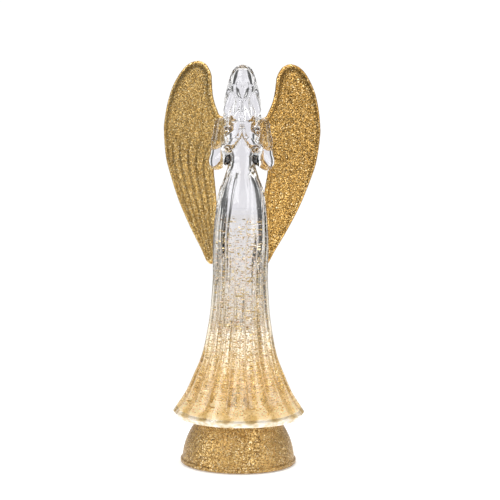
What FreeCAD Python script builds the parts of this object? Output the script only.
"""Lit angel figurine: a clear acrylic angel with a liquid-filled gown, glittered wings and a glittered base.

The origin is on the table under the middle of the base, +Z is up, the angel faces -Y, and lengths are
millimetres. Left and right are as seen from the front.
The figure is a solid casting bonded into the mouth of a hollow pleated gown, and a plug closes the gown below.
A motor in the base turns a magnet carrier, whose magnets pull an impeller round inside the liquid.
"""

import FreeCAD
import Part
import Sketcher
import math
import os
from types import SimpleNamespace

Vector = FreeCAD.Vector
SHEET = "Sizes"
FULL_TURN = 360.0

# Driving dimensions, in millimetres, degrees or plain counts.
DIMENSIONS = {
    # gown: ridge radius and height of each station, from the hem up to the waist
    "hem_foot_radius": 47.2, "hem_foot_height": 35.7,
    "flare_radius": 53.4, "flare_height": 35.7,
    "hem_radius": 49.8, "hem_height": 39.5,
    "skirt_low_radius": 42.3, "skirt_low_height": 50.5,
    "skirt_mid_radius": 34.7, "skirt_mid_height": 66.1,
    "skirt_high_radius": 28.5, "skirt_high_height": 81.7,
    "knee_radius": 25.0, "knee_height": 97.3,
    "thigh_radius": 22.1, "thigh_height": 118.0,
    "hip_radius": 20.7, "hip_height": 145.0,
    "girdle_radius": 20.9, "girdle_height": 168.0,
    "bond_radius": 19.2, "bond_height": 190.5,
    "rib_radius": 16.7, "rib_height": 205.8,
    "bodice_radius": 12.0, "bodice_height": 218.0,
    "waist_radius": 9.0, "waist_height": 224.0,
    "pleat_count": 20, "pleat_depth": 0.9,
    # liquid chamber
    "chamber_wall": 2.7, "chamber_seat_radius": 43.2, "chamber_ceiling": 184.0, "liquid_gap": 0.1,
    "spigot_clearance": 0.1,
    # chamber plug, its seal and its stopper
    "plug_radius": 44.0, "plug_bore_radius": 44.2, "plug_bottom": 36.6, "plug_top": 39.6,
    "collar_inner_radius": 23.2, "collar_outer_radius": 27.0, "collar_bottom": 33.4,
    "seal_wire_radius": 0.75, "seal_radius": 43.35, "groove_low": 37.3, "groove_high": 38.9,
    "stopper_radius": 3.0, "stopper_offset": 36.0,
    # base housing
    "rim_radius": 43.6, "rim_bottom": 0.8, "rim_top": 3.8, "dome_foot_radius": 42.4,
    "dome_top_radius": 28.6, "dome_top": 35.2, "dome_arc_radius": 50.0, "dome_wall": 2.6,
    "dome_inner_top_radius": 28.4,
    "deck_bottom": 31.4, "deck_inner_radius": 22.8, "deck_recess_radius": 27.3,
    "housing_bore_radius": 39.5, "screw_circle": 25.1,
    # base plate, battery bay and door
    "floor_radius": 39.2, "floor_bottom": 2.6, "floor_top": 5.0,
    "bay_half_width": 22.2, "bay_half_length": 27.8, "bay_wall": 1.2, "bay_ceiling": 19.0, "bay_roof": 19.8,
    "bay_taper_low": 39.4, "bay_taper_high": 34.5,
    "door_half_width": 23.0, "door_hinge_y": 28.2, "door_hinge_z": 3.6, "door_thickness": 1.2,
    "door_gap": 0.3, "latch_height": 2.1,
    "post_x": 30.5, "post_y": 13.0, "post_radius": 2.8, "post_top": 21.0,
    "foot_x": 27.0, "foot_y": 23.5, "foot_radius": 3.4,
    # cells and contacts
    "cell_radius": 7.25, "cell_length": 50.5, "cell_pitch": 14.75, "cell_centre_z": 11.6,
    "nub_radius": 2.75, "nub_height": 1.0, "contact_thickness": 0.4, "leaf_half_width": 3.0,
    "leaf_half_height": 4.8, "leaf_half_nose": 1.2, "leaf_thickness": 0.4,
    # motor, carrier and impeller
    "motor_radius": 12.2, "motor_bottom": 21.8, "motor_top": 32.6, "motor_can_wall": 0.8,
    "ring_magnet_inner": 9.4, "armature_radius": 9.0, "shaft_radius": 1.0, "shaft_top": 36.0,
    "carrier_radius": 10.0, "carrier_bottom": 33.6, "carrier_top": 36.1,
    "magnet_radius": 2.5, "magnet_circle": 6.2, "magnet_thickness": 1.6, "running_gap": 0.06,
    "impeller_hub_radius": 9.6, "impeller_bottom": 40.2, "impeller_hub_top": 43.0,
    "blade_root": 1.5, "blade_reach": 14.0, "blade_top": 49.0, "blade_thickness": 1.0, "blade_count": 4,
    "pin_bottom": 37.6, "pin_top": 49.6, "cap_radius": 2.2, "cap_height": 1.4, "sweep_radius": 15.0,
    "sweep_top": 53.0,
    # bracket and light board
    "bracket_bottom": 21.0, "bracket_cup_inner": 12.3, "bracket_cup_outer": 13.8, "bracket_cup_top": 28.0,
    "bracket_ledge_inner": 9.0, "bracket_flange_bottom": 22.2, "bracket_flange_top": 23.8,
    "bracket_flange_radius": 28.2, "board_bottom": 25.8, "board_top": 27.4,
    "board_inner_radius": 14.2, "board_outer_radius": 22.4, "light_circle": 18.2,
    "light_radius": 2.5, "light_flange_radius": 2.9, "light_top": 36.0,
    "chip_half_width": 2.5,
    # switch
    "switch_x": 31.0, "switch_half_x": 3.0, "switch_half_y": 5.2, "switch_top": 9.0,
    "knob_half_x": 1.1, "knob_half_y": 1.5, "knob_bottom": 1.4, "knob_top": 7.0, "switch_travel": 2.0,
    "slider_flange": 0.9, "slider_bottom": 5.6, "slide_gap": 0.2,
    # fasteners
    "screw_radius": 1.1, "screw_head_radius": 2.1, "screw_head_height": 1.4, "screw_clearance": 1.35,
    "thread_gap": 0.02, "lead_radius": 0.5, "lead_x": 3.0, "notch_half_width": 0.8,
    # figure
    "torso_half_depth": 8.0, "bust_half_width": 11.6, "bust_height": 246.0, "shoulder_half_width": 17.5,
    "shoulder_height": 256.5, "collar_height": 263.5, "neck_radius": 4.4,
    "head_centre": 284.5, "head_half_width": 8.0, "head_half_depth": 8.8, "head_half_height": 11.5,
    "hair_top": 299.6, "hair_half_width": 14.6, "hair_bottom": 263.0,
    "elbow_x": 20.2, "elbow_height": 231.0, "sleeve_drop": 221.0, "hand_height": 251.0, "hand_y": -14.5,
    "hand_half_width": 1.9, "hand_half_height": 5.2,
    # wings
    "wing_span": 60.2, "wing_top": 301.1, "wing_tip": 148.0, "wing_thickness": 4.4, "wing_sweep": 20.0,
    "wing_root_y": 7.6, "wing_edge_round": 1.5, "wing_gap": 0.25, "wing_lean": 1.4, "wing_pivot": 246.0,
    "peg_radius": 1.6, "peg_x": 9.5, "peg_low": 238.0, "peg_high": 250.0, "peg_depth": 5.0,
    "boss_radius": 3.4,
    # glitter
    "flake_width": 1.6, "flake_thickness": 0.3, "flake_count": 60,
}


def number(value):
    return value.value if isinstance(value, Size) else float(value)


def text(value):
    return value.text if isinstance(value, Size) else repr(float(value))


class Size:
    """A length that carries both its number and the spreadsheet expression that gives it."""

    def __init__(self, value, expression):
        self.value = float(value)
        self.text = expression

    def __add__(self, other):
        return Size(self.value + number(other), f"({self.text} + {text(other)})")

    def __radd__(self, other):
        return self + other

    def __sub__(self, other):
        return Size(self.value - number(other), f"({self.text} - {text(other)})")

    def __rsub__(self, other):
        return Size(number(other) - self.value, f"({text(other)} - {self.text})")

    def __mul__(self, factor):
        return Size(self.value * number(factor), f"({self.text} * {text(factor)})")

    def __rmul__(self, factor):
        return self * factor

    def __truediv__(self, divisor):
        return Size(self.value / number(divisor), f"({self.text} / {text(divisor)})")

    def __neg__(self):
        return Size(-self.value, f"(0 - {self.text})")


def make_sheet(doc):
    """Writes the driving dimensions to the sheet and returns them as Sizes."""
    cells = doc.addObject("Spreadsheet::Sheet", SHEET)
    for row, (alias, value) in enumerate(DIMENSIONS.items(), start=1):
        cells.set(f"A{row}", alias)
        cells.set(f"B{row}", str(value))
        cells.setAlias(f"B{row}", alias)
    doc.recompute()
    return SimpleNamespace(**{alias: Size(value, f"{SHEET}.{alias}") for alias, value in DIMENSIONS.items()})


doc = FreeCAD.newDocument("Angel")
S = make_sheet(doc)
finished = []


def bind(obj, **properties):
    """Binds each named property of obj to a Size."""
    for name, value in properties.items():
        obj.setExpression(name, text(value))


def place(obj, x=0, y=0, z=0, rotation=None):
    """Puts obj at a point whose coordinates are Sizes."""
    turn = rotation or FreeCAD.Rotation()
    obj.Placement = FreeCAD.Placement(Vector(number(x), number(y), number(z)), turn)
    for axis, value in zip("xyz", (x, y, z)):
        obj.setExpression(f"Placement.Base.{axis}", text(value))
    return obj


def node(label, obj):
    """Marks obj as a finished sub-part, and its label names its file."""
    obj.Label = label
    finished.append(obj)
    return obj


TOWARDS = {
    "x": FreeCAD.Rotation(Vector(0, 1, 0), 90),
    "y": FreeCAD.Rotation(Vector(1, 0, 0), -90),
    "z": FreeCAD.Rotation(),
}


def cylinder(radius, length, x=0, y=0, z=0, along="z"):
    """A cylinder that starts at x, y, z and runs along one axis."""
    obj = doc.addObject("Part::Cylinder", "Round")
    bind(obj, Radius=radius, Height=length)
    return place(obj, x, y, z, TOWARDS[along])


def upright(radius, bottom, top, x=0, y=0):
    return cylinder(radius, top - bottom, x, y, bottom)


def cone(radius_low, radius_high, bottom, top, x=0, y=0):
    obj = doc.addObject("Part::Cone", "Taper")
    bind(obj, Radius1=radius_low, Radius2=radius_high, Height=top - bottom)
    return place(obj, x, y, bottom)


def box(low, high):
    """A box between two corners given as Sizes."""
    obj = doc.addObject("Part::Box", "Block")
    bind(obj, Length=high[0] - low[0], Width=high[1] - low[1], Height=high[2] - low[2])
    return place(obj, *low)


def ball(radius, x=0, y=0, z=0):
    obj = doc.addObject("Part::Sphere", "Ball")
    bind(obj, Radius=radius)
    return place(obj, x, y, z)


def fuse(*parts):
    obj = doc.addObject("Part::MultiFuse", "Joined")
    obj.Shapes = list(parts)
    obj.Refine = False
    return obj


def cut(base, *tools):
    obj = doc.addObject("Part::Cut", "Cut")
    obj.Base = base
    obj.Tool = tools[0] if len(tools) == 1 else fuse(*tools)
    obj.Refine = False
    return obj


def common(first, second):
    obj = doc.addObject("Part::Common", "Shared")
    obj.Base = first
    obj.Tool = second
    obj.Refine = False
    return obj


def group(*parts):
    """Several separate solids in one node."""
    obj = doc.addObject("Part::Compound", "Group")
    obj.Links = list(parts)
    return obj


def computed(shape):
    """A Part::Feature that holds a shape made by this script's own functions."""
    obj = doc.addObject("Part::Feature", "Computed")
    obj.Shape = shape
    return obj


def turned(label, corners):
    """A PartDesign body that revolves a closed outline about Z.

    A corner is (radius, height), or (radius, height, arc radius, side) for an arc that ends there.
    """
    body = doc.addObject("PartDesign::Body", "Body")
    plane = [f for f in body.Origin.OriginFeatures if f.Role == "XZ_Plane"][0]
    sketch = body.newObject("Sketcher::SketchObject", "Outline")
    sketch.AttachmentSupport = [(plane, "")]
    sketch.MapMode = "FlatFace"
    previous = corners[-1]
    for corner in corners:
        start = Vector(number(previous[0]), number(previous[1]), 0)
        end = Vector(number(corner[0]), number(corner[1]), 0)
        if len(corner) == 4:
            sketch.addGeometry(arc_between(start, end, number(corner[2]), corner[3]), False)
        else:
            sketch.addGeometry(Part.LineSegment(start, end), False)
        previous = corner
    constrain_outline(sketch, corners)
    doc.recompute()
    revolution = body.newObject("PartDesign::Revolution", "Turned")
    revolution.Profile = sketch
    revolution.ReferenceAxis = (sketch, ["V_Axis"])
    revolution.Angle = FULL_TURN
    body.Tip = revolution
    if label:
        node(label, body)
    return body


def arc_between(start, end, radius, side):
    """The short arc of that radius from start to end, bulging to the side given as +1 or -1."""
    chord = end - start
    across = Vector(-chord.y, chord.x, 0).normalize() * side
    rise = radius - math.sqrt(radius * radius - chord.Length ** 2 / 4)
    middle = (start + end) * 0.5 + across * rise
    return Part.Arc(start, middle, end)


def end_points(sketch, index, corner, start):
    """The point numbers of a piece's start and end, which an arc may hold the other way round."""
    if len(corner) != 4:
        return 1, 2
    begins_here = sketch.getPoint(index, 1).distanceToPoint(start) < 1e-6
    return (1, 2) if begins_here else (2, 1)


def constrain_outline(sketch, corners):
    """Ties each corner of the outline to its place from the sheet."""
    count = len(corners)
    ends = []
    for index, corner in enumerate(corners):
        before = corners[index - 1]
        start = Vector(number(before[0]), number(before[1]), 0)
        ends.append(end_points(sketch, index, corner, start))
    for index, corner in enumerate(corners):
        following = (index + 1) % count
        here, there = ends[index][1], ends[following][0]
        sketch.addConstraint(Sketcher.Constraint("Coincident", index, here, following, there))
        for kind, value in (("DistanceX", corner[0]), ("DistanceY", corner[1])):
            made = sketch.addConstraint(Sketcher.Constraint(kind, -1, 1, index, here, number(value)))
            sketch.setExpression(f"Constraints[{made}]", text(value))
        if len(corner) == 4:
            made = sketch.addConstraint(Sketcher.Constraint("Radius", index, number(corner[2])))
            sketch.setExpression(f"Constraints[{made}]", text(corner[2]))


def around(circle, count, first=0.0):
    """Places evenly spaced on a circle, as pairs of Sizes with their angles in degrees."""
    for index in range(count):
        angle = math.radians(first + index * FULL_TURN / count)
        yield circle * round(math.cos(angle), 6), circle * round(math.sin(angle), 6), math.degrees(angle)


# ---------------------------------------------------------------- gown and figure

GOWN_STATIONS = (
    "flare", "hem", "skirt_low", "skirt_mid", "skirt_high", "knee", "thigh", "hip", "girdle", "bond",
)
UPPER_STATIONS = ("bond", "rib", "bodice", "waist")
POINTS_PER_PLEAT = 4

# Share of the full pleat depth at the stations where the pleats die out.
PLEAT_SHARE = {"flare": 0.3, "hem": 0.4, "rib": 0.9, "bodice": 0.6, "waist": 0.3}


def station(name):
    """The radius and height of one named station of the gown."""
    return DIMENSIONS[f"{name}_radius"], DIMENSIONS[f"{name}_height"]


def pleated_ring(radius, height, depth):
    """A closed wavy curve with its ridges at the given radius."""
    count = int(S.pleat_count.value)
    points = []
    for index in range(count * POINTS_PER_PLEAT):
        angle = 2 * math.pi * index / (count * POINTS_PER_PLEAT)
        wave = radius - depth * (1 - math.cos(count * angle)) / 2
        points.append(Vector(wave * math.cos(angle), wave * math.sin(angle), height))
    curve = Part.BSplineCurve()
    curve.interpolate(points, PeriodicFlag=True)
    return Part.Wire([curve.toShape()])


def pleated_solid(names):
    """A solid lofted through the pleated rings of the named stations."""
    rings = []
    for name in names:
        radius, height = station(name)
        rings.append(pleated_ring(radius, height, S.pleat_depth.value * PLEAT_SHARE.get(name, 1.0)))
    return Part.makeLoft(rings, True, False)


def chamber_solid(gap):
    """The hollow of the gown, turned about Z, smaller all round by the gap."""
    wall = S.chamber_wall.value + gap
    points = []
    for name in GOWN_STATIONS[2:]:
        radius, height = station(name)
        points.append(Vector(radius - wall * wall_stretch(name), 0, height))
    ceiling = S.chamber_ceiling.value - gap
    points = [p for p in points if p.z < ceiling - 1]
    top = Vector(points[-1].x - 0.8, 0, ceiling)
    seat = Vector(S.chamber_seat_radius.value - gap, 0, S.plug_top.value + gap)
    curve = Part.BSplineCurve()
    curve.interpolate([seat, *points, top])
    lid = Part.LineSegment(top, Vector(0, 0, ceiling)).toShape()
    axis = Part.LineSegment(Vector(0, 0, ceiling), Vector(0, 0, seat.z)).toShape()
    floor = Part.LineSegment(Vector(0, 0, seat.z), seat).toShape()
    outline = Part.Wire([curve.toShape(), lid, axis, floor])
    return Part.Face(outline).revolve(Vector(0, 0, 0), Vector(0, 0, 1), FULL_TURN)


def wall_stretch(name):
    """How much wider a wall of even thickness is when measured level, on the sloping skirt."""
    slopes = {"skirt_low": 1.22, "skirt_mid": 1.12, "skirt_high": 1.06, "knee": 1.03}
    return slopes.get(name, 1.0)


def spigot_radius():
    return chamber_mouth_radius() - S.spigot_clearance.value


def chamber_mouth_radius():
    """The bore at the top of the gown that takes the figure's spigot."""
    return S.bond_radius.value - S.pleat_depth.value - 1.8


def make_gown():
    """The hollow pleated gown with its bevelled hem, the seat for the plug and the mouth for the figure."""
    skirt = pleated_solid(GOWN_STATIONS)
    rise = S.bond_height.value + 1.0 - S.hem_foot_height.value
    slope = (S.hem_radius.value - S.hem_foot_radius.value) / (S.hem_height.value - S.hem_foot_height.value)
    bevel = Part.makeCone(S.hem_foot_radius.value, S.hem_foot_radius.value + slope * rise, rise,
                          Vector(0, 0, S.hem_foot_height.value))
    seat = Part.makeCylinder(S.plug_bore_radius.value, S.plug_top.value - S.hem_foot_height.value,
                             Vector(0, 0, S.hem_foot_height.value))
    mouth = Part.makeCylinder(chamber_mouth_radius(), S.bond_height.value - S.chamber_ceiling.value + 1.0,
                              Vector(0, 0, S.chamber_ceiling.value - 1.0))
    shell = skirt.common(bevel).cut(chamber_solid(0.0)).cut(seat).cut(mouth)
    node("gown_shell", computed(shell))


def make_liquid(flakes):
    """The liquid, without the space that the flakes, the impeller and its pin take."""
    space = Part.makeCylinder(S.sweep_radius.value, S.sweep_top.value - S.plug_top.value,
                              Vector(0, 0, S.plug_top.value))
    liquid = chamber_solid(S.liquid_gap.value).cut([space, *flakes])
    node("chamber_liquid", computed(liquid))


def make_glitter():
    """Loose hexagonal flakes on a rising spiral in the liquid, standing for the whole charge of glitter."""
    flakes = []
    count = int(S.flake_count.value)
    golden_angle = math.radians(137.5)
    lowest, highest = S.sweep_top.value + 2, S.chamber_ceiling.value - 8
    for index in range(count):
        share = index / (count - 1)
        height = lowest + (highest - lowest) * share
        reach = 4 + 9 * (0.5 + 0.5 * math.sin(7.0 * index))
        angle = index * golden_angle
        centre = Vector(reach * math.cos(angle), reach * math.sin(angle), height)
        flakes.append(hexagon_flake(centre, 40.0 * index))
    node("glitter_flakes", computed(Part.makeCompound(flakes)))
    return flakes


def hexagon_flake(centre, tilt):
    """One flat hexagonal flake, tilted about a level axis."""
    half = S.flake_width.value / 2
    corners = [Vector(half * math.cos(math.radians(60 * k)), half * math.sin(math.radians(60 * k)), 0)
               for k in range(7)]
    flake = Part.Face(Part.makePolygon(corners)).extrude(Vector(0, 0, S.flake_thickness.value))
    flake.rotate(Vector(0, 0, 0), Vector(math.cos(tilt), math.sin(tilt), 0), tilt)
    flake.translate(centre)
    return flake


def ellipse(half_width, half_depth, x=0, y=0, z=0, rotation=None):
    """An ellipse wire, level unless it is rotated, whose width runs along its own x."""
    obj = doc.addObject("Part::Ellipse", "Ring")
    wide = number(half_width) >= number(half_depth)
    bind(obj, MajorRadius=half_width if wide else half_depth, MinorRadius=half_depth if wide else half_width)
    turn = rotation or FreeCAD.Rotation()
    if not wide:
        turn = turn.multiply(FreeCAD.Rotation(Vector(0, 0, 1), 90))
    return place(obj, x, y, z, turn)


def loft(*rings):
    obj = doc.addObject("Part::Loft", "Loft")
    obj.Sections = list(rings)
    obj.Solid = True
    obj.MaxDegree = 3
    return obj


EGG_LEVELS = (-0.97, -0.78, -0.42, 0.0, 0.42, 0.78, 0.97)


def egg(half_x, half_y, half_z, x=0, y=0, z=0):
    """A rounded form with three different half sizes, lofted through level ellipses."""
    rings = []
    for level in EGG_LEVELS:
        share = round(math.sqrt(1 - level * level), 4)
        rings.append(ellipse(half_x * share, half_y * share, x, y, z + half_z * level))
    return loft(*rings)


def make_torso():
    """Bodice, bust, shoulders and neck, lofted through level ellipses."""
    deep = S.torso_half_depth
    return loft(
        ellipse(S.waist_radius, deep * 0.95, z=S.waist_height - 1),
        ellipse(S.waist_radius * 1.02, deep * 0.92, z=S.waist_height + 3),
        ellipse(S.bust_half_width, deep * 1.08, z=S.bust_height),
        ellipse(S.shoulder_half_width, deep, z=S.shoulder_height),
        ellipse(S.neck_radius * 2, deep * 0.75, z=S.collar_height),
        ellipse(S.neck_radius, S.neck_radius, z=S.collar_height + 7),
    )


def make_hair():
    """Long hair that falls behind the head and over the shoulders."""
    middle = (S.hair_top + S.hair_bottom) / 2
    return loft(
        ellipse(S.hair_half_width * 0.86, S.head_half_depth * 0.80, y=2.6, z=S.hair_bottom),
        ellipse(S.hair_half_width, S.head_half_depth * 0.98, y=2.2, z=middle - 8),
        ellipse(S.hair_half_width * 0.86, S.head_half_depth * 1.06, y=1.4, z=middle + 1.5),
        ellipse(S.hair_half_width * 0.64, S.head_half_depth * 1.02, y=0.6, z=S.hair_top - 9),
        ellipse(S.hair_half_width * 0.40, S.head_half_depth * 0.66, y=0.3, z=S.hair_top - 2.5),
        ellipse(S.hair_half_width * 0.16, S.head_half_depth * 0.28, y=0.2, z=S.hair_top),
    )


def make_arm(side):
    """Upper arm, bell sleeve, forearm and hand of one side, with the hand raised in prayer."""
    elbow = S.elbow_x * side
    upper = loft(
        ellipse(4.6, 5.4, x=S.shoulder_half_width * 0.86 * side, y=0.5, z=S.shoulder_height + 2.5),
        ellipse(5.0, 6.0, x=S.shoulder_half_width * 1.02 * side, y=-0.5, z=S.shoulder_height - 5),
        ellipse(4.2, 6.2, x=elbow * 0.97, y=-1.5, z=S.elbow_height + 6),
        ellipse(3.4, 5.6, x=elbow, y=-2.0, z=S.elbow_height - 3),
        ellipse(1.8, 3.6, x=elbow * 1.02, y=-2.5, z=S.sleeve_drop),
    )
    level = FreeCAD.Rotation(Vector(0, 1, 0), 90)
    fore = loft(
        ellipse(6.2, 4.6, x=elbow * 0.98, y=-3.5, z=S.elbow_height - 1, rotation=level),
        ellipse(5.2, 4.0, x=elbow * 0.66, y=-7.5, z=S.elbow_height + 5, rotation=level),
        ellipse(3.4, 2.8, x=elbow * 0.36, y=S.hand_y + 2.5, z=S.hand_height - 8, rotation=level),
        ellipse(2.4, 2.0, x=elbow * 0.12, y=S.hand_y + 0.5, z=S.hand_height - 3, rotation=level),
    )
    hand = egg(S.hand_half_width, S.hand_half_width * 1.2, S.hand_half_height, x=1.7 * side, y=S.hand_y,
               z=S.hand_height + 1.5)
    return fuse(upper, fore, hand)


def make_figure():
    """The solid clear casting from the spigot up to the hair, with two bosses at the back for each wing."""
    gown_top = computed(pleated_solid(UPPER_STATIONS))
    spigot = computed(Part.makeCylinder(spigot_radius(), S.bond_height.value - S.chamber_ceiling.value + 2.0,
                                        Vector(0, 0, S.chamber_ceiling.value)))
    head = egg(S.head_half_width, S.head_half_depth, S.head_half_height, y=-1.5, z=S.head_centre)
    bosses, sockets = [], []
    for side in (-1, 1):
        for height in (S.peg_low, S.peg_high):
            bosses.append(cylinder(S.boss_radius, S.wing_root_y + 1.0, S.peg_x * side, 2.0, height, "y"))
            sockets.append(cylinder(S.peg_radius + S.thread_gap, S.peg_depth + 2.0, S.peg_x * side,
                                    boss_end() - S.peg_depth, height, "y"))
    body = fuse(gown_top, spigot, make_torso(), head, make_hair(), make_arm(-1), make_arm(1), *bosses)
    node("angel_figure", cut(body, *sockets))


def boss_end():
    """How far back the bosses reach, which is where the wings begin."""
    return S.wing_root_y + 3.0


# ---------------------------------------------------------------- wings

# Outline of a wing from the front, as shares of its span and height, from the root's top anticlockwise.
WING_OUTLINE = (
    (0.105, 0.718), (0.284, 0.735), (0.334, 0.764), (0.384, 0.817), (0.408, 0.873), (0.422, 0.934),
    (0.472, 0.975), (0.530, 0.994), (0.605, 1.000), (0.700, 0.987), (0.785, 0.955), (0.860, 0.908),
    (0.918, 0.856), (0.965, 0.785), (0.992, 0.715), (1.000, 0.650), (0.968, 0.530), (0.910, 0.445),
    (0.778, 0.303), (0.620, 0.175), (0.478, 0.075), (0.395, 0.012), (0.325, 0.004), (0.292, 0.060),
    (0.290, 0.160), (0.300, 0.300), (0.330, 0.400), (0.350, 0.475), (0.300, 0.530), (0.200, 0.558),
    (0.105, 0.562),
)


POINTS_PER_EDGE = 5


def smooth_edges(points):
    """One smooth curve through the points, as edges that each pass a few of them."""
    curve = Part.BSplineCurve()
    curve.interpolate(points)
    knots = curve.getKnots()
    joints = knots[:-1:POINTS_PER_EDGE] + knots[-1:]
    return [curve.toShape(first, last) for first, last in zip(joints, joints[1:])]


def make_wing(side):
    """One wing: a round-edged plate swept back from the figure, with two pegs for the figure's bosses.

    The pair is bonded on with a slight lean, so that the left wing stands a little higher.
    """
    sweep = math.radians(S.wing_sweep.value)
    reach = side * S.wing_span.value / math.cos(sweep)
    height = S.wing_top.value - S.wing_tip.value
    points = [Vector(share_x * reach, 0, S.wing_tip.value + share_z * height)
              for share_x, share_z in WING_OUTLINE]
    root = Part.LineSegment(points[-1], points[0]).toShape()
    outline = Part.Wire([*smooth_edges(points), root])
    plate = Part.Face(outline).extrude(Vector(0, S.wing_thickness.value, 0))
    rim = [edge for edge in plate.Edges if edge.Curve.TypeId == "Part::GeomBSplineCurve"]
    plate = plate.makeFillet(S.wing_edge_round.value, rim)
    plate.rotate(Vector(0, 0, 0), Vector(0, 0, 1), S.wing_sweep.value * side)
    plate.translate(Vector(0, wing_shift(), 0))
    plate.rotate(Vector(0, 0, S.wing_pivot.value), Vector(0, 1, 0), S.wing_lean.value)
    start = boss_end().value - S.peg_depth.value + 0.3
    pegs = [Part.makeCylinder(S.peg_radius.value, S.peg_depth.value + 3.0,
                              Vector(S.peg_x.value * side, start, height), Vector(0, 1, 0))
            for height in (S.peg_low.value, S.peg_high.value)]
    return computed(plate.fuse(pegs))


def wing_shift():
    """Moves the swept plate back, so that its front face just clears the bosses."""
    nearest = (S.peg_x.value - S.boss_radius.value) * math.tan(math.radians(S.wing_sweep.value))
    return boss_end().value - nearest + S.wing_gap.value


# ---------------------------------------------------------------- chamber plug and impeller

def make_plug():
    """The clear plug that closes the gown, with a seal groove, a collar for the base and a fill hole."""
    groove = S.seal_radius - S.seal_wire_radius - 0.05
    body = turned(None, [
        (0, S.plug_bottom), (S.collar_inner_radius, S.plug_bottom),
        (S.collar_inner_radius, S.collar_bottom), (S.collar_outer_radius, S.collar_bottom),
        (S.collar_outer_radius, S.plug_bottom), (S.plug_radius, S.plug_bottom), (S.plug_radius, S.groove_low),
        (groove, S.groove_low), (groove, S.groove_high), (S.plug_radius, S.groove_high),
        (S.plug_radius, S.plug_top), (0, S.plug_top),
    ])
    holes = [upright(S.screw_radius + S.thread_gap, S.collar_bottom - 1, S.plug_bottom + 1.6, x, y)
             for x, y, _ in around(S.screw_circle, 3)]
    pin_hole = upright(S.shaft_radius + S.thread_gap, S.pin_bottom, S.plug_top + 1)
    fill_hole = upright(S.stopper_radius + S.thread_gap, S.plug_bottom - 1, S.plug_top + 1,
                        x=-S.stopper_offset)
    node("chamber_plug", cut(body, pin_hole, fill_hole, *holes))

    seal = doc.addObject("Part::Torus", "Seal")
    bind(seal, Radius1=S.seal_radius, Radius2=S.seal_wire_radius)
    node("plug_seal", place(seal, z=(S.groove_low + S.groove_high) / 2))

    stem = upright(S.stopper_radius, S.plug_bottom, S.plug_top, x=-S.stopper_offset)
    head = upright(S.stopper_radius + 1, S.plug_bottom - 0.8, S.plug_bottom, x=-S.stopper_offset)
    node("fill_stopper", fuse(stem, head))

    screws = [screw(x, y, S.deck_bottom, S.plug_bottom + 1.4) for x, y, _ in around(S.screw_circle, 3)]
    node("plug_screws", group(*screws))


def screw(x, y, seat, tip):
    """A self-tapping screw driven upwards, with its head under the seat."""
    return fuse(upright(S.screw_head_radius, seat - S.screw_head_height, seat, x, y),
                upright(S.screw_radius, seat, tip, x, y))


def make_impeller():
    """The bladed rotor in the liquid, its two magnets, the pin it turns on and the cap that keeps it on."""
    gap = S.running_gap
    magnet_top = S.impeller_bottom + S.magnet_thickness
    hub = upright(S.impeller_hub_radius, S.impeller_bottom, S.impeller_hub_top)
    sleeve = upright(S.shaft_radius + 1.6, S.impeller_hub_top, S.blade_top)
    blades = []
    for index in range(int(S.blade_count.value)):
        blade = box((S.blade_root, -S.blade_thickness / 2, S.impeller_hub_top - 0.5),
                    (S.blade_reach, S.blade_thickness / 2, S.blade_top))
        turn = FreeCAD.Rotation(Vector(0, 0, 1), index * FULL_TURN / S.blade_count.value)
        holder = group(blade)
        holder.Placement = FreeCAD.Placement(Vector(), turn)
        blades.append(holder)
    pockets = [upright(S.magnet_radius + 0.02, S.impeller_bottom - 1, magnet_top, x, y)
               for x, y, _ in around(S.magnet_circle, 2)]
    bore = upright(S.shaft_radius + gap, S.impeller_bottom - 1, S.blade_top + 1)
    node("impeller", cut(fuse(hub, sleeve, *blades), bore, *pockets))
    magnets = [upright(S.magnet_radius, S.impeller_bottom + 0.05, magnet_top - 0.02, x, y)
               for x, y, _ in around(S.magnet_circle, 2)]
    node("impeller_magnets", group(*magnets))
    node("impeller_pin", upright(S.shaft_radius, S.pin_bottom + 0.1, S.pin_top))
    node("pin_cap", upright(S.cap_radius, S.pin_top, S.pin_top + S.cap_height))


# ---------------------------------------------------------------- base housing

def make_housing():
    """The glittered dome of the base, with a recessed deck for the plug's collar and posts for the screws."""
    body = turned(None, [
        (S.housing_bore_radius, S.rim_bottom), (S.rim_radius - 0.5, S.rim_bottom),
        (S.rim_radius, S.rim_bottom + 0.5), (S.rim_radius, S.rim_top - 0.4), (S.rim_radius - 0.4, S.rim_top),
        (S.dome_foot_radius, S.rim_top), (S.dome_top_radius, S.dome_top, S.dome_arc_radius, -1),
        (S.deck_recess_radius, S.dome_top), (S.deck_recess_radius, S.collar_bottom),
        (S.deck_inner_radius, S.collar_bottom), (S.deck_inner_radius, S.deck_bottom),
        (S.dome_inner_top_radius, S.deck_bottom),
        (S.housing_bore_radius, S.rim_top + 1.4, S.dome_arc_radius - S.dome_wall, 1),
    ])
    posts, holes = [], []
    for x, y in four_corners(S.post_x, S.post_y):
        posts.append(upright(S.post_radius, S.floor_top, S.post_top, x, y))
        holes.append(upright(S.screw_radius + S.thread_gap, S.floor_top - 1, S.floor_top + 9, x, y))
    for x, y, _ in around(S.screw_circle, 3, 60):
        posts.append(upright(S.screw_radius + 1.5, S.bracket_flange_top, S.deck_bottom + 0.5, x, y))
        holes.append(upright(S.screw_radius + S.thread_gap, S.bracket_flange_top - 1, S.deck_bottom - 1,
                             x, y))
    for x, y, _ in around(S.screw_circle, 3):
        holes.append(upright(S.screw_clearance, S.deck_bottom - 1, S.collar_bottom + 1, x, y))
    node("base_housing", cut(fuse(body, *posts), *holes))


def four_corners(x, y):
    return [(x, y), (-x, y), (-x, -y), (x, -y)]


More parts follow.
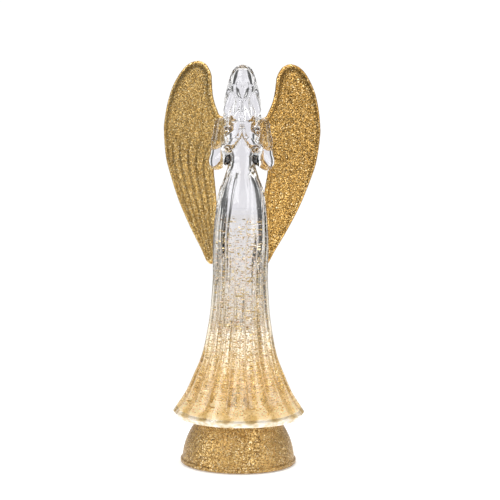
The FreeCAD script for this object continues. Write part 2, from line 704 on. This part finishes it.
def make_floor():
    """The base plate with its battery bay, the door's recess and bearings, and the slot for the switch."""
    disc = upright(S.floor_radius, S.floor_bottom, S.floor_top)
    wide, long = S.bay_half_width + S.bay_wall, S.bay_half_length + S.bay_wall
    taper = (S.bay_taper_low, S.bay_taper_high, S.floor_top, S.bay_roof)
    walls = common(box((-wide, -long, S.floor_top - 0.5), (wide, long, S.bay_roof)),
                   fuse(cone(*taper), upright(S.floor_radius, S.floor_bottom, S.floor_top)))
    inner_taper = (S.bay_taper_low - S.bay_wall, S.bay_taper_high - S.bay_wall, S.floor_top, S.bay_roof)
    bay = common(box((-S.bay_half_width, -S.bay_half_length, S.floor_bottom - 1),
                     (S.bay_half_width, S.bay_half_length, S.bay_ceiling)),
                 fuse(cone(*inner_taper), upright(S.floor_radius, S.floor_bottom - 1, S.floor_top)))
    recess_top = S.door_hinge_z + S.door_thickness / 2 + 0.1
    recess = box((-S.door_half_width - S.door_gap, -S.door_hinge_y - 0.8, S.floor_bottom - 1),
                 (S.door_half_width + S.door_gap, S.door_hinge_y + 0.8, recess_top))
    bearing = cylinder(0.66, (S.door_half_width + 1.2) * 2, -S.door_half_width - 1.2, S.door_hinge_y,
                       S.door_hinge_z, "x")
    slot = switch_slot(S.knob_half_x, S.knob_half_y, S.floor_bottom - 1, S.floor_top + 1)
    holes = [upright(S.screw_clearance, S.floor_bottom - 1, S.floor_top + 1, x, y)
             for x, y in four_corners(S.post_x, S.post_y)]
    lead_notches = [box((x - S.notch_half_width, S.bay_half_length - 0.5, S.bay_ceiling - 3),
                        (x + S.notch_half_width, S.bay_half_length + S.bay_wall + 0.5, S.bay_roof + 1))
                    for x in (-S.lead_x, S.lead_x)]
    node("base_plate", cut(fuse(disc, walls), bay, recess, bearing, slot, *holes, *lead_notches))

    screws = [screw(x, y, S.floor_bottom, S.floor_top + 8) for x, y in four_corners(S.post_x, S.post_y)]
    node("base_screws", group(*screws))
    feet = [upright(S.foot_radius, 0, S.floor_bottom, x, y)
            for x, y in four_corners(S.foot_x, S.foot_y)]
    node("rubber_feet", group(*feet))


def make_door():
    """The battery door: a flat lid with a rounded hinge edge, two stub pins and a latch tongue."""
    half = S.door_thickness / 2
    lid = box((-S.door_half_width, -S.door_hinge_y - 0.4, S.door_hinge_z - half),
              (S.door_half_width, S.door_hinge_y, S.door_hinge_z + half))
    edge = cylinder(half, S.door_half_width * 2, -S.door_half_width, S.door_hinge_y, S.door_hinge_z, "x")
    pins = cylinder(0.6, (S.door_half_width + 1.0) * 2, -S.door_half_width - 1.0, S.door_hinge_y,
                    S.door_hinge_z, "x")
    tongue_y = -S.bay_half_length + 0.5
    tongue = box((-S.latch_height * 3, tongue_y, S.door_hinge_z),
                 (S.latch_height * 3, tongue_y + 0.8, S.door_hinge_z + half + S.latch_height))
    grip = cylinder(5.0, S.door_thickness, x=0, y=-S.door_hinge_y - 2.0, z=S.door_hinge_z - half - 0.7)
    node("battery_door", cut(fuse(lid, edge, pins, tongue), grip))


# ---------------------------------------------------------------- cells and contacts

def cell_layout():
    """Each cell's x and the way its nub points along y."""
    return [(-S.cell_pitch, 1), (0, -1), (S.cell_pitch, 1)]


def make_cells():
    """Three AA cells side by side, each held by a plate at its nub and a spring at its flat end."""
    contact_y = S.bay_half_length - S.contact_thickness
    springs, plates = [], []
    for index, (x, way) in enumerate(cell_layout(), start=1):
        flat_end = (S.cell_length - contact_y) * way * -1
        start = flat_end if way > 0 else contact_y - S.cell_length
        shoulder = contact_y - S.nub_height
        length = S.cell_length - S.nub_height
        can_start = shoulder - length if way > 0 else -shoulder
        can = cylinder(S.cell_radius, length, x, can_start, S.cell_centre_z, "y")
        nub = cylinder(S.nub_radius, S.cell_length, x, start if way > 0 else -contact_y, S.cell_centre_z, "y")
        node(f"battery_{index}", fuse(can, nub))
        springs.append(contact_spring(number(x), way))
        for side in (-1, 1):
            low = -S.bay_half_length if side < 0 else contact_y
            plates.append(box((x - 5.0, low, S.cell_centre_z - 5.0),
                              (x + 5.0, low + S.contact_thickness, S.cell_centre_z + 5.0)))
    node("contact_springs", group(*springs))
    node("contact_plates", group(*plates))


def contact_spring(x, way):
    """A folded leaf spring that reaches from the contact plate to a cell's flat end."""
    near = S.bay_half_length.value - S.contact_thickness.value
    reach = 2 * near - S.cell_length.value - 0.07
    tall, nose, leaf = S.leaf_half_height.value, S.leaf_half_nose.value, S.leaf_thickness.value
    outline = [(0, -tall), (reach, -nose), (reach, nose), (0, tall),
               (0, tall - 2 * leaf), (reach - leaf, nose - leaf / 2), (reach - leaf, leaf / 2 - nose),
               (0, 2 * leaf - tall)]
    corners = [Vector(x - S.leaf_half_width.value, (y + 0.02 - near) * way, z + S.cell_centre_z.value)
               for y, z in outline + outline[:1]]
    face = Part.Face(Part.makePolygon(corners))
    return computed(face.extrude(Vector(2 * S.leaf_half_width.value, 0, 0)))


# ---------------------------------------------------------------- motor, bracket and light board

def make_motor():
    """A small flat motor: steel can, plastic end cap, ring magnet, and the armature on its shaft."""
    wall, gap = S.motor_can_wall, S.running_gap
    inner = S.motor_radius - wall
    cap_top = S.motor_bottom + 1.6
    turned("motor_can", [
        (S.shaft_radius + gap, S.motor_top - wall), (inner, S.motor_top - wall), (inner, S.motor_bottom),
        (S.motor_radius, S.motor_bottom), (S.motor_radius, S.motor_top), (S.shaft_radius + gap, S.motor_top),
    ])
    turned("motor_end_cap", [
        (S.shaft_radius + gap, S.motor_bottom), (inner, S.motor_bottom), (inner, cap_top),
        (S.shaft_radius + gap, cap_top),
    ])
    turned("motor_ring_magnet", [
        (S.ring_magnet_inner, cap_top + 0.6), (inner, cap_top + 0.6), (inner, S.motor_top - wall - 0.4),
        (S.ring_magnet_inner, S.motor_top - wall - 0.4),
    ])
    core = upright(S.armature_radius, cap_top + 1.2, S.motor_top - wall - 1.2)
    slots = []
    for x, y, _ in around(S.armature_radius, 3, 30):
        slots.append(upright(S.armature_radius * 0.28, S.motor_bottom, S.motor_top, x, y))
    bore = upright(S.shaft_radius, S.motor_bottom, S.motor_top)
    node("motor_armature", cut(core, bore, *slots))
    node("motor_shaft", upright(S.shaft_radius, S.motor_bottom + 0.3, S.shaft_top))

    carrier = upright(S.carrier_radius, S.carrier_bottom, S.carrier_top)
    shaft_hole = upright(S.shaft_radius, S.carrier_bottom - 1, S.carrier_top + 1)
    pockets = [upright(S.magnet_radius + 0.02, S.carrier_top - S.magnet_thickness, S.carrier_top + 1, x, y)
               for x, y, _ in around(S.magnet_circle, 2)]
    node("magnet_carrier", cut(carrier, shaft_hole, *pockets))
    magnets = [upright(S.magnet_radius, S.carrier_top - S.magnet_thickness + 0.02, S.carrier_top - 0.05, x, y)
               for x, y, _ in around(S.magnet_circle, 2)]
    node("drive_magnets", group(*magnets))


def make_bracket():
    """The bracket that hangs from the deck, holds the motor in its cup and carries the light board."""
    body = turned(None, [
        (S.bracket_ledge_inner, S.bracket_bottom), (S.bracket_cup_outer, S.bracket_bottom),
        (S.bracket_cup_outer, S.bracket_flange_bottom), (S.bracket_flange_radius, S.bracket_flange_bottom),
        (S.bracket_flange_radius, S.bracket_flange_top), (S.bracket_cup_outer, S.bracket_flange_top),
        (S.bracket_cup_outer, S.bracket_cup_top), (S.bracket_cup_inner, S.bracket_cup_top),
        (S.bracket_cup_inner, S.motor_bottom), (S.bracket_ledge_inner, S.motor_bottom),
    ])
    spacers, pins = [], []
    for x, y, _ in around(S.light_circle, 4, 22.5):
        spacers.append(upright(S.screw_radius + 0.4, S.bracket_flange_top - 0.4, S.board_bottom, x, y))
        pins.append(upright(S.screw_radius - 0.3, S.board_bottom - 0.5, S.board_top + 0.8, x, y))
    holes = [upright(S.screw_clearance, S.bracket_flange_bottom - 1, S.bracket_flange_top + 1, x, y)
             for x, y, _ in around(S.screw_circle, 3, 60)]
    node("motor_bracket", cut(fuse(body, *spacers, *pins), *holes))
    screws = [screw(x, y, S.bracket_flange_bottom, S.bracket_flange_top + 5)
              for x, y, _ in around(S.screw_circle, 3, 60)]
    node("bracket_screws", group(*screws))


def make_board():
    """The ring-shaped light board with four round lights and its timer chip."""
    ring = upright(S.board_outer_radius, S.board_bottom, S.board_top)
    hole = upright(S.board_inner_radius, S.board_bottom - 1, S.board_top + 1)
    pin_holes = [upright(S.screw_radius - 0.25, S.board_bottom - 1, S.board_top + 1, x, y)
                 for x, y, _ in around(S.light_circle, 4, 22.5)]
    node("light_board", cut(ring, hole, *pin_holes))
    for index, (x, y, _) in enumerate(around(S.light_circle, 4, 45), start=1):
        flange = upright(S.light_flange_radius, S.board_top, S.board_top + 1, x, y)
        barrel = upright(S.light_radius, S.board_top, S.light_top - S.light_radius, x, y)
        dome = ball(S.light_radius, x, y, S.light_top - S.light_radius)
        node(f"light_{index}", fuse(flange, barrel, dome))
    node("timer_chip", box((-S.light_circle - 2, -S.chip_half_width, S.board_top),
                           (-S.light_circle + 2, S.chip_half_width, S.board_top + 1.5)))


def make_switch():
    """The slide switch over the base plate and the knob that a finger moves from below."""
    block = centred_box(S.switch_half_x, S.switch_half_y, S.floor_top, S.switch_top)
    wide, long = S.knob_half_x + S.slider_flange, S.knob_half_y + S.slider_flange
    stem_way = switch_slot(S.knob_half_x, S.knob_half_y, S.floor_top - 1, S.knob_top)
    flange_way = switch_slot(wide, long, S.slider_bottom - S.slide_gap, S.knob_top + S.slide_gap)
    node("switch_body", cut(block, stem_way, flange_way))
    stem = centred_box(S.knob_half_x, S.knob_half_y, S.knob_bottom, S.knob_top)
    node("switch_knob", fuse(stem, centred_box(wide, long, S.slider_bottom, S.knob_top)))


def centred_box(half_x, half_y, bottom, top):
    """A box centred on the switch."""
    return box((S.switch_x - half_x, -half_y, bottom), (S.switch_x + half_x, half_y, top))


def switch_slot(half_x, half_y, bottom, top):
    """The room that a block of that half size needs as the switch slides both ways."""
    return centred_box(half_x + S.slide_gap, half_y + S.switch_travel + S.slide_gap, bottom, top)


# ---------------------------------------------------------------- leads

def lead(points):
    """A round lead along straight runs joined by tangent arcs as large as the shorter run allows."""
    edges = []
    start = points[0]
    for before, corner, after in zip(points, points[1:], points[2:]):
        back, ahead = before - corner, after - corner
        half_turn = (math.pi - back.getAngle(ahead)) / 2
        reach = 0.45 * min(back.Length, ahead.Length)
        radius = reach / math.tan(half_turn)
        back.normalize()
        ahead.normalize()
        enter, leave = corner + back * reach, corner + ahead * reach
        centre = corner + (back + ahead).normalize() * (radius / math.cos(half_turn))
        middle = centre + (corner - centre).normalize() * radius
        edges += [Part.LineSegment(start, enter).toShape(), Part.Arc(enter, middle, leave).toShape()]
        start = leave
    edges.append(Part.LineSegment(start, points[-1]).toShape())
    path = Part.Wire(edges)
    profile = Part.Wire([Part.makeCircle(S.lead_radius.value, points[0], points[1] - points[0])])
    return computed(path.makePipeShell([profile], True, False))


def make_leads():
    """Pairs of leads from the switch, the battery contacts and the motor to the light board."""
    solder_z = S.board_top.value + S.lead_radius.value
    edge = S.board_outer_radius.value - 2.0
    switch, battery, motor = [], [], []
    for side in (-1.3, 1.3):
        switch.append(lead([Vector(S.switch_x.value - 1.0, side, S.switch_top.value),
                            Vector(S.switch_x.value - 1.0, side, solder_z), Vector(edge, side, solder_z)]))
    wall_y = S.bay_half_length.value + S.bay_wall.value + 1.4
    run_z = S.bay_roof.value + S.lead_radius.value + 0.05
    for x in (-S.lead_x.value, S.lead_x.value):
        battery.append(lead([Vector(x, S.bay_half_length.value - 0.2, S.bay_ceiling.value - 1.2),
                             Vector(x, wall_y, S.bay_ceiling.value - 0.2), Vector(x, wall_y, solder_z),
                             Vector(x, edge, solder_z)]))
        motor.append(lead([Vector(x, -5.0, S.motor_bottom.value), Vector(x, -5.0, run_z),
                           Vector(x, -wall_y, run_z), Vector(x, -wall_y, solder_z),
                           Vector(x, -edge, solder_z)]))
    node("switch_leads", group(*switch))
    node("battery_leads", group(*battery))
    node("motor_leads", group(*motor))


def write_parts():
    """Recomputes the document, stops if anything failed, and writes each finished sub-part."""
    doc.recompute()
    failed = [obj.Label for obj in doc.Objects if {"Invalid", "Error"} & set(obj.State)]
    for obj in finished:
        if obj.Shape.isNull() or not obj.Shape.isValid() or not obj.Shape.Solids:
            failed.append(obj.Label)
    if failed:
        raise SystemExit(f"these sub-parts failed: {sorted(set(failed))}")
    os.makedirs("parts", exist_ok=True)
    for obj in finished:
        obj.Shape.exportStep(os.path.join("parts", obj.Label + ".step"))
        print(f"{obj.Label}: {len(obj.Shape.Solids)} solid(s), {obj.Shape.Volume:.1f} mm3")


make_gown()
make_liquid(make_glitter())
make_figure()
node("wing_right", make_wing(1))
node("wing_left", make_wing(-1))
make_plug()
make_impeller()
make_housing()
make_floor()
make_door()
make_cells()
make_motor()
make_bracket()
make_board()
make_switch()
make_leads()
write_parts()
